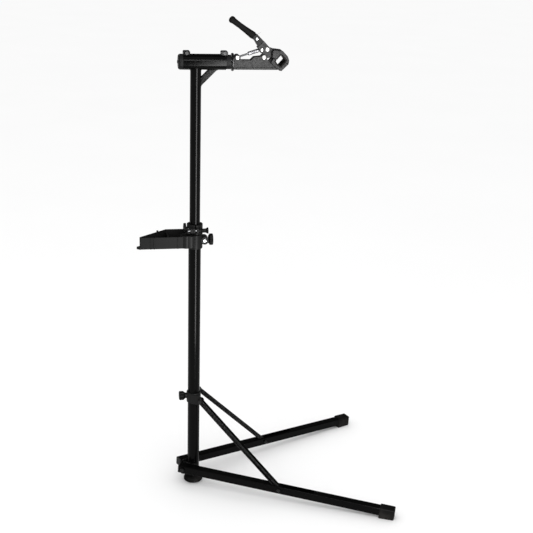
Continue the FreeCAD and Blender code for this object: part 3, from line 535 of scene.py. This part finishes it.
# %% Threaded link rod and knurled barrel
LINK_AXIS = (PIVOT_B - PIVOT_A).normalized()
LINK_LENGTH = (PIVOT_B - PIVOT_A).length
PITCH = 1.0 * MM
ROD = 3 * MM


def thread(angle, t, r):
    phase = (t / PITCH - angle / (2 * math.pi)) % 1.0
    return r - 0.45 * MM * abs(2 * phase - 1) if 8 * MM < t < LINK_LENGTH * 0.44 else r


def knurl(angle, t, r):
    if not LINK_LENGTH * 0.47 < t < LINK_LENGTH * 0.80:
        return r
    first = math.sin(26 * angle + t / (0.42 * MM))
    second = math.sin(26 * angle - t / (0.42 * MM))
    return r - 0.28 * MM * (1 - abs(first * second))


rod_start, rod_end = 5 * MM, LINK_LENGTH * 0.68
rod_profile = dense([(rod_start, 0), (rod_start, ROD), (rod_end, ROD), (rod_end, 0)], 0.2 * MM)
rod_mesh = turned("link_thread", PIVOT_A, LINK_AXIS, rod_profile, 32, thread)
link_thread = piece("link_thread", rod_mesh, zinc_plate, "link_rod")
eye_outline = rounded_profile([(-6 * MM, 0), (-6 * MM, 7 * MM), (6 * MM, 7 * MM), (6 * MM, 0)], 0.8 * MM)
eye = piece("link_eye", turned("link_eye", PIVOT_A, (0, 1, 0), eye_outline, 40), turned_steel, "link_rod")
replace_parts(eye, "link_rod")

low_end, high_end = LINK_LENGTH * 0.45, LINK_LENGTH * 0.87
barrel_profile = [(low_end, 0), (low_end, 4.4 * MM), (low_end + 1.2 * MM, 5.5 * MM),
                  (high_end - 0.6 * MM, 5.5 * MM), (high_end, 5.0 * MM), (high_end, 0)]
barrel_mesh = turned("adjuster_knurled", PIVOT_A, LINK_AXIS, dense(barrel_profile, 0.35 * MM), 156, knurl)
barrel = piece("adjuster_knurled", barrel_mesh, turned_steel, "adjuster_barrel")
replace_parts(barrel, "adjuster_barrel")
print("link is", round(LINK_LENGTH / MM, 1), "mm between its pivots")

# %% [markdown]
# ## The handle's grip
# The grip is a rubber sleeve pushed over the lever: waisted in the middle, swollen at the
# end so the hand can't slide off, with shallow rings and lengthwise flutes for hold. Its
# axis is measured from the engineering solid by comparing where its two ends are.

# %% Ribbed rubber grip
def long_axis(node):
    """Start, direction and length of a node that is longest in the x-z plane."""
    points = [v.co for v in nodes[node].data.vertices]
    near_end = min(points, key=lambda p: p.z - p.x)
    far_end = max(points, key=lambda p: p.z - p.x)
    rough = (far_end - near_end).normalized()
    rough = Vector((rough.x, 0, rough.z)).normalized()
    for _ in range(4):
        spans = [p.dot(rough) for p in points]
        low, high = min(spans), max(spans)
        first = [p for p, s in zip(points, spans) if s < low + 0.0015]
        last = [p for p, s in zip(points, spans) if s > high - 0.0015]
        start = sum(first, Vector()) / len(first)
        end = sum(last, Vector()) / len(last)
        rough = Vector((end.x - start.x, 0, end.z - start.z)).normalized()
    return Vector((start.x, 0, start.z)), rough, high - low


grip_start, grip_axis, grip_length = long_axis("handle_grip")
GRIP = 10.5 * MM


def grip_ribs(angle, t, r):
    share = t / grip_length
    if not 0.10 < share < 0.90:
        return r
    flute = 0.35 * MM * (0.5 - 0.5 * math.cos(14 * angle))
    ring = 0.45 * MM * (0.5 - 0.5 * math.cos(2 * math.pi * t / (4.2 * MM)))
    return r - (ring if 0.16 < share < 0.42 or 0.56 < share < 0.84 else flute)


L = grip_length
grip_profile = rounded_profile(
    [(0, 0), (0, GRIP - 0.6 * MM), (0.8 * MM, GRIP), (8 * MM, GRIP), (30 * MM, GRIP - 1.6 * MM),
     (L * 0.57, GRIP - 2.2 * MM), (L - 14 * MM, GRIP - 1.6 * MM), (L - 8 * MM, GRIP),
     (L - 3 * MM, GRIP - 1.5 * MM), (L - 0.2 * MM, GRIP - 5 * MM), (L, 0)], 3 * MM)
grip_mesh = turned("grip_sleeve", grip_start, grip_axis, dense(grip_profile, 0.7 * MM), 112, grip_ribs)
grip = piece("grip_sleeve", grip_mesh, black_rubber, "handle_grip")
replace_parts(grip, "handle_grip")
print("grip is", round(L / MM, 1), "mm long")

# %% [markdown]
# ## Hand knobs
# Both clamping screws end in a moulded knob. The slider's has six deep lobes; the tray's
# is a wide wheel with fine ribs. A cosine raised to a power gives rounded lobes with
# narrow valleys, and the wave fades out where the knob's face is.

# %% Knobs
def knob(name, node, axis, profile, lobes, cut, sharpness):
    low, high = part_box(node)
    centre = (low + high) / 2
    start = Vector((high.x if axis < 0 else low.x, centre.y, centre.z))
    edge_r = max(r for t, r in profile)

    def lobed(angle, t, r):
        wave = (0.5 - 0.5 * math.cos(lobes * angle)) ** sharpness
        return r * (1 - cut * wave * (r / edge_r) ** 4)

    shaped = dense(rounded_profile(profile, 1.6 * MM), 1.0 * MM)
    made = piece(name, turned(name, start, (axis, 0, 0), shaped, 144, lobed), black_nylon, node)
    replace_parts(made, node)
    return made


knob_low, knob_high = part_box("collar_knob")
deep = knob_high.x - knob_low.x
wide = (knob_high.z - knob_low.z) / 2
knob("slider_knob", "collar_knob", -1,
     [(0, 0), (0, wide * 0.72), (deep * 0.20, wide * 0.84), (deep * 0.25, wide), (deep * 0.9, wide),
      (deep, wide * 0.86), (deep, wide * 0.35), (deep * 0.94, wide * 0.30), (deep * 0.94, 0)], 6, 0.17, 2)
wheel_low, wheel_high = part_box("tray_knob")
deep = wheel_high.x - wheel_low.x
wide = (wheel_high.z - wheel_low.z) / 2
knob("tray_wheel", "tray_knob", 1,
     [(0, 0), (0, wide * 0.72), (deep * 0.20, wide * 0.84), (deep * 0.25, wide), (deep * 0.92, wide),
      (deep, wide * 0.9), (deep, wide * 0.4), (deep * 0.9, wide * 0.34), (deep * 0.9, 0)], 18, 0.09, 1)
print("knobs made")

# %% [markdown]
# ## Foot
# The mast stands on a round rubber foot, dished at its rim, with treads round its edge.

# %% Round foot
foot_low, foot_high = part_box("foot_pad")
R, H = foot_high.x, foot_high.z


def treads(angle, t, r):
    grip_band = math.exp(-((t - 0.28 * H) / (0.12 * H)) ** 2)
    return r - 0.9 * MM * grip_band * max(0.0, math.cos(28 * angle)) ** 3 * (r / R) ** 6


foot_profile = [(0, 0), (0, R - 3 * MM), (0.12 * H, R), (0.42 * H, R), (0.52 * H, R - 3 * MM),
                (0.62 * H, R - 2.4 * MM), (0.88 * H, R - 9 * MM), (H, R - 11 * MM), (H, 0)]
foot_mesh = turned("foot_moulded", Vector((0, 0, 0)), (0, 0, 1),
                   dense(rounded_profile(foot_profile, 1.6 * MM), 1.2 * MM), 168, treads)
foot = piece("foot_moulded", foot_mesh, black_rubber, "foot_pad")
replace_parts(foot, "foot_pad")
print("foot is", round(2 * R / MM), "mm across")

# %% [markdown]
# ## Welds
# Tubes that meet are joined by a weld bead: a rope of overlapping ripples laid into the
# corner. One function sweeps a small circle along a line of points and swells it at
# every ripple. Each joint only has to say where its corner runs: the upper mast's end
# follows the head tube's underside, and the gusset's square section meets a cylinder at
# both of its ends.

# %% Weld beads
BEAD = 1.5 * MM
RIPPLE = 2.2 * MM


def resampled(points, step, closed):
    """Points spread evenly along a line."""
    path = [Vector(p) for p in points] + ([Vector(points[0])] if closed else [])
    spaced, left = [path[0]], step
    for a, b in zip(path, path[1:]):
        run = (b - a).length
        while run > left:
            a = a + (b - a) * (left / run)
            spaced.append(a)
            run, left = (b - a).length, step
        left -= run
    return spaced


def bead(name, node, points, closed=True, sides=8):
    """A rippled rope along a line of points."""
    step = RIPPLE / 5
    path = resampled(points, step, closed)
    count = len(path)
    bm = bmesh.new()
    rings = []
    for k, place in enumerate(path):
        after = path[(k + 1) % count] if closed else path[min(k + 1, count - 1)]
        before = path[k - 1] if closed else path[max(k - 1, 0)]
        along = (after - before).normalized()
        if rings:
            across = (across - along * across.dot(along)).normalized()
        else:
            across = along.orthogonal().normalized()
        third = along.cross(across)
        swell = BEAD * (0.86 + 0.14 * abs(math.sin(math.pi * k * step / RIPPLE)))
        turns = [2 * math.pi * j / sides for j in range(sides)]
        rings.append([bm.verts.new(place + (across * math.cos(a) + third * math.sin(a)) * swell)
                      for a in turns])
    pairs = list(zip(rings, rings[1:])) + ([(rings[-1], rings[0])] if closed else [])
    for a, b in pairs:
        for j in range(sides):
            i = (j + 1) % sides
            bm.faces.new((a[j], a[i], b[i], b[j]))
    if not closed:
        bm.faces.new(rings[0][::-1])
        bm.faces.new(rings[-1])
    bmesh.ops.recalc_face_normals(bm, faces=bm.faces)
    mesh = bpy.data.meshes.new(name)
    bm.to_mesh(mesh)
    bm.free()
    smooth(mesh, 70)
    return piece(name, mesh, gloss_coat, node)


head_low, head_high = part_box("head_tube")
HEAD_R = (head_high.z - head_low.z) / 2
HEAD_Z = (head_high.z + head_low.z) / 2
POST_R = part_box("upper_mast_tube")[1].x
MAST_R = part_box("lower_mast_tube")[1].x
turns = [2 * math.pi * k / 60 for k in range(60)]
saddle = [(POST_R * math.cos(a), POST_R * math.sin(a),
           HEAD_Z - math.sqrt(HEAD_R ** 2 - (POST_R * math.sin(a)) ** 2)) for a in turns]
bead("weld_saddle", "head_tube", saddle)
floor_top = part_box("lower_mast_tube")[0].z
mast_ring = [(MAST_R * math.cos(a), MAST_R * math.sin(a), floor_top) for a in turns]
bead("weld_mast_foot", "base_bracket", mast_ring)

GUSSET_OUT, GUSSET_DROP = 29 * MM, 18.5 * MM    # its middle, ahead of the mast and under the head tube
GUSSET_MID = Vector((GUSSET_OUT, 0, HEAD_Z - HEAD_R - GUSSET_DROP))
half_y, half_n = 7 * MM, 9 * MM
outline = [(y, n) for y, n in ((-half_y, -half_n), (half_y, -half_n), (half_y, half_n), (-half_y, half_n))]
square = []
for (y0, n0), (y1, n1) in zip(outline, outline[1:] + outline[:1]):
    square += [(y0 + (y1 - y0) * k / 8, n0 + (n1 - n0) * k / 8) for k in range(8)]
SLANT = math.sqrt(0.5)
on_post, on_head = [], []
for y, n in square:
    x = math.sqrt(POST_R ** 2 - y ** 2)
    s = (x - GUSSET_MID.x + n * SLANT) / SLANT
    on_post.append((x, y, GUSSET_MID.z + (s + n) * SLANT))
    z = HEAD_Z - math.sqrt(HEAD_R ** 2 - y ** 2)
    s = (z - GUSSET_MID.z - n * SLANT) / SLANT
    on_head.append((GUSSET_MID.x + (s - n) * SLANT, y, z))
bead("weld_gusset_post", "head_gusset", on_post)
bead("weld_gusset_head", "head_gusset", on_head)
print("welded the head and the foot of the mast")


# %% [markdown]
# ## Floor and light
# A plain pale floor and a soft studio. Gloss black shows only what it mirrors, so the mast
# and the head tube each get their own lamp. A tall strip stands low and close, because a camera
# that looks down sees the mast mirror what is below it; a long strip overhead does the head tube.

# %% Floor
floor_mesh = bpy.data.meshes.new("floor")
REACH = 30.0
floor_mesh.from_pydata([(-REACH, -REACH, 0), (REACH, -REACH, 0), (REACH, REACH, 0), (-REACH, REACH, 0)], [],
                       [(0, 1, 2, 3)])
floor = bpy.data.objects.new("floor", floor_mesh)
scene.collection.objects.link(floor)
floor.location.z = -0.0004
pale = Finish("pale_floor", Specular_IOR_Level=0.0)
veil = pale.noise(1.3, 2.0)
floor_mesh.materials.append(pale.finish(pale.mix(veil, grey(0.90), grey(0.92)), veil * 0.05 + 0.65))

# %% Lights
ROOM_GLOW = 1.05     # what the camera and soft light see
GLOSS_GLOW = 0.06    # what gloss sees: a dark room
world = bpy.data.worlds.new("studio")
scene.world = world
world.use_nodes = True
sky = world.node_tree.nodes["Background"]
rays = world.node_tree.nodes.new("ShaderNodeLightPath")
level = world.node_tree.nodes.new("ShaderNodeMapRange")
level.inputs["To Min"].default_value = ROOM_GLOW
level.inputs["To Max"].default_value = GLOSS_GLOW
world.node_tree.links.new(rays.outputs["Is Glossy Ray"], level.inputs["Value"])
world.node_tree.links.new(level.outputs[0], sky.inputs["Strength"])
sky.inputs["Color"].default_value = (1, 1, 1, 1)


def panel(name, place, target, size, power, gloss_only=False):
    """A soft lamp that isn't seen itself; one for gloss only draws highlights and adds no other light."""
    lamp = bpy.data.lights.new(name, "AREA")
    lamp.shape = "RECTANGLE"
    lamp.size, lamp.size_y = size
    lamp.energy = power
    made = bpy.data.objects.new(name, lamp)
    scene.collection.objects.link(made)
    made.location = place
    made.rotation_euler = (Vector(target) - Vector(place)).to_track_quat("-Z", "Y").to_euler()
    made.visible_camera = False
    made.visible_diffuse = not gloss_only
    return made


panel("mast_strip", (0.36, -1.05, 0.86), (0, 0, 0.86), (0.35, 1.7), 48, True)
panel("head_strip", (0.25, -2.0, 2.57), (0.1, 0, 1.37), (2.6, 0.25), 48, True)
panel("overhead", (-0.6, -1.2, 3.6), (0.2, 0, 0.6), (2.6, 2.6), 20)
scene.view_settings.view_transform = "Standard"
print("floor and lights ready")
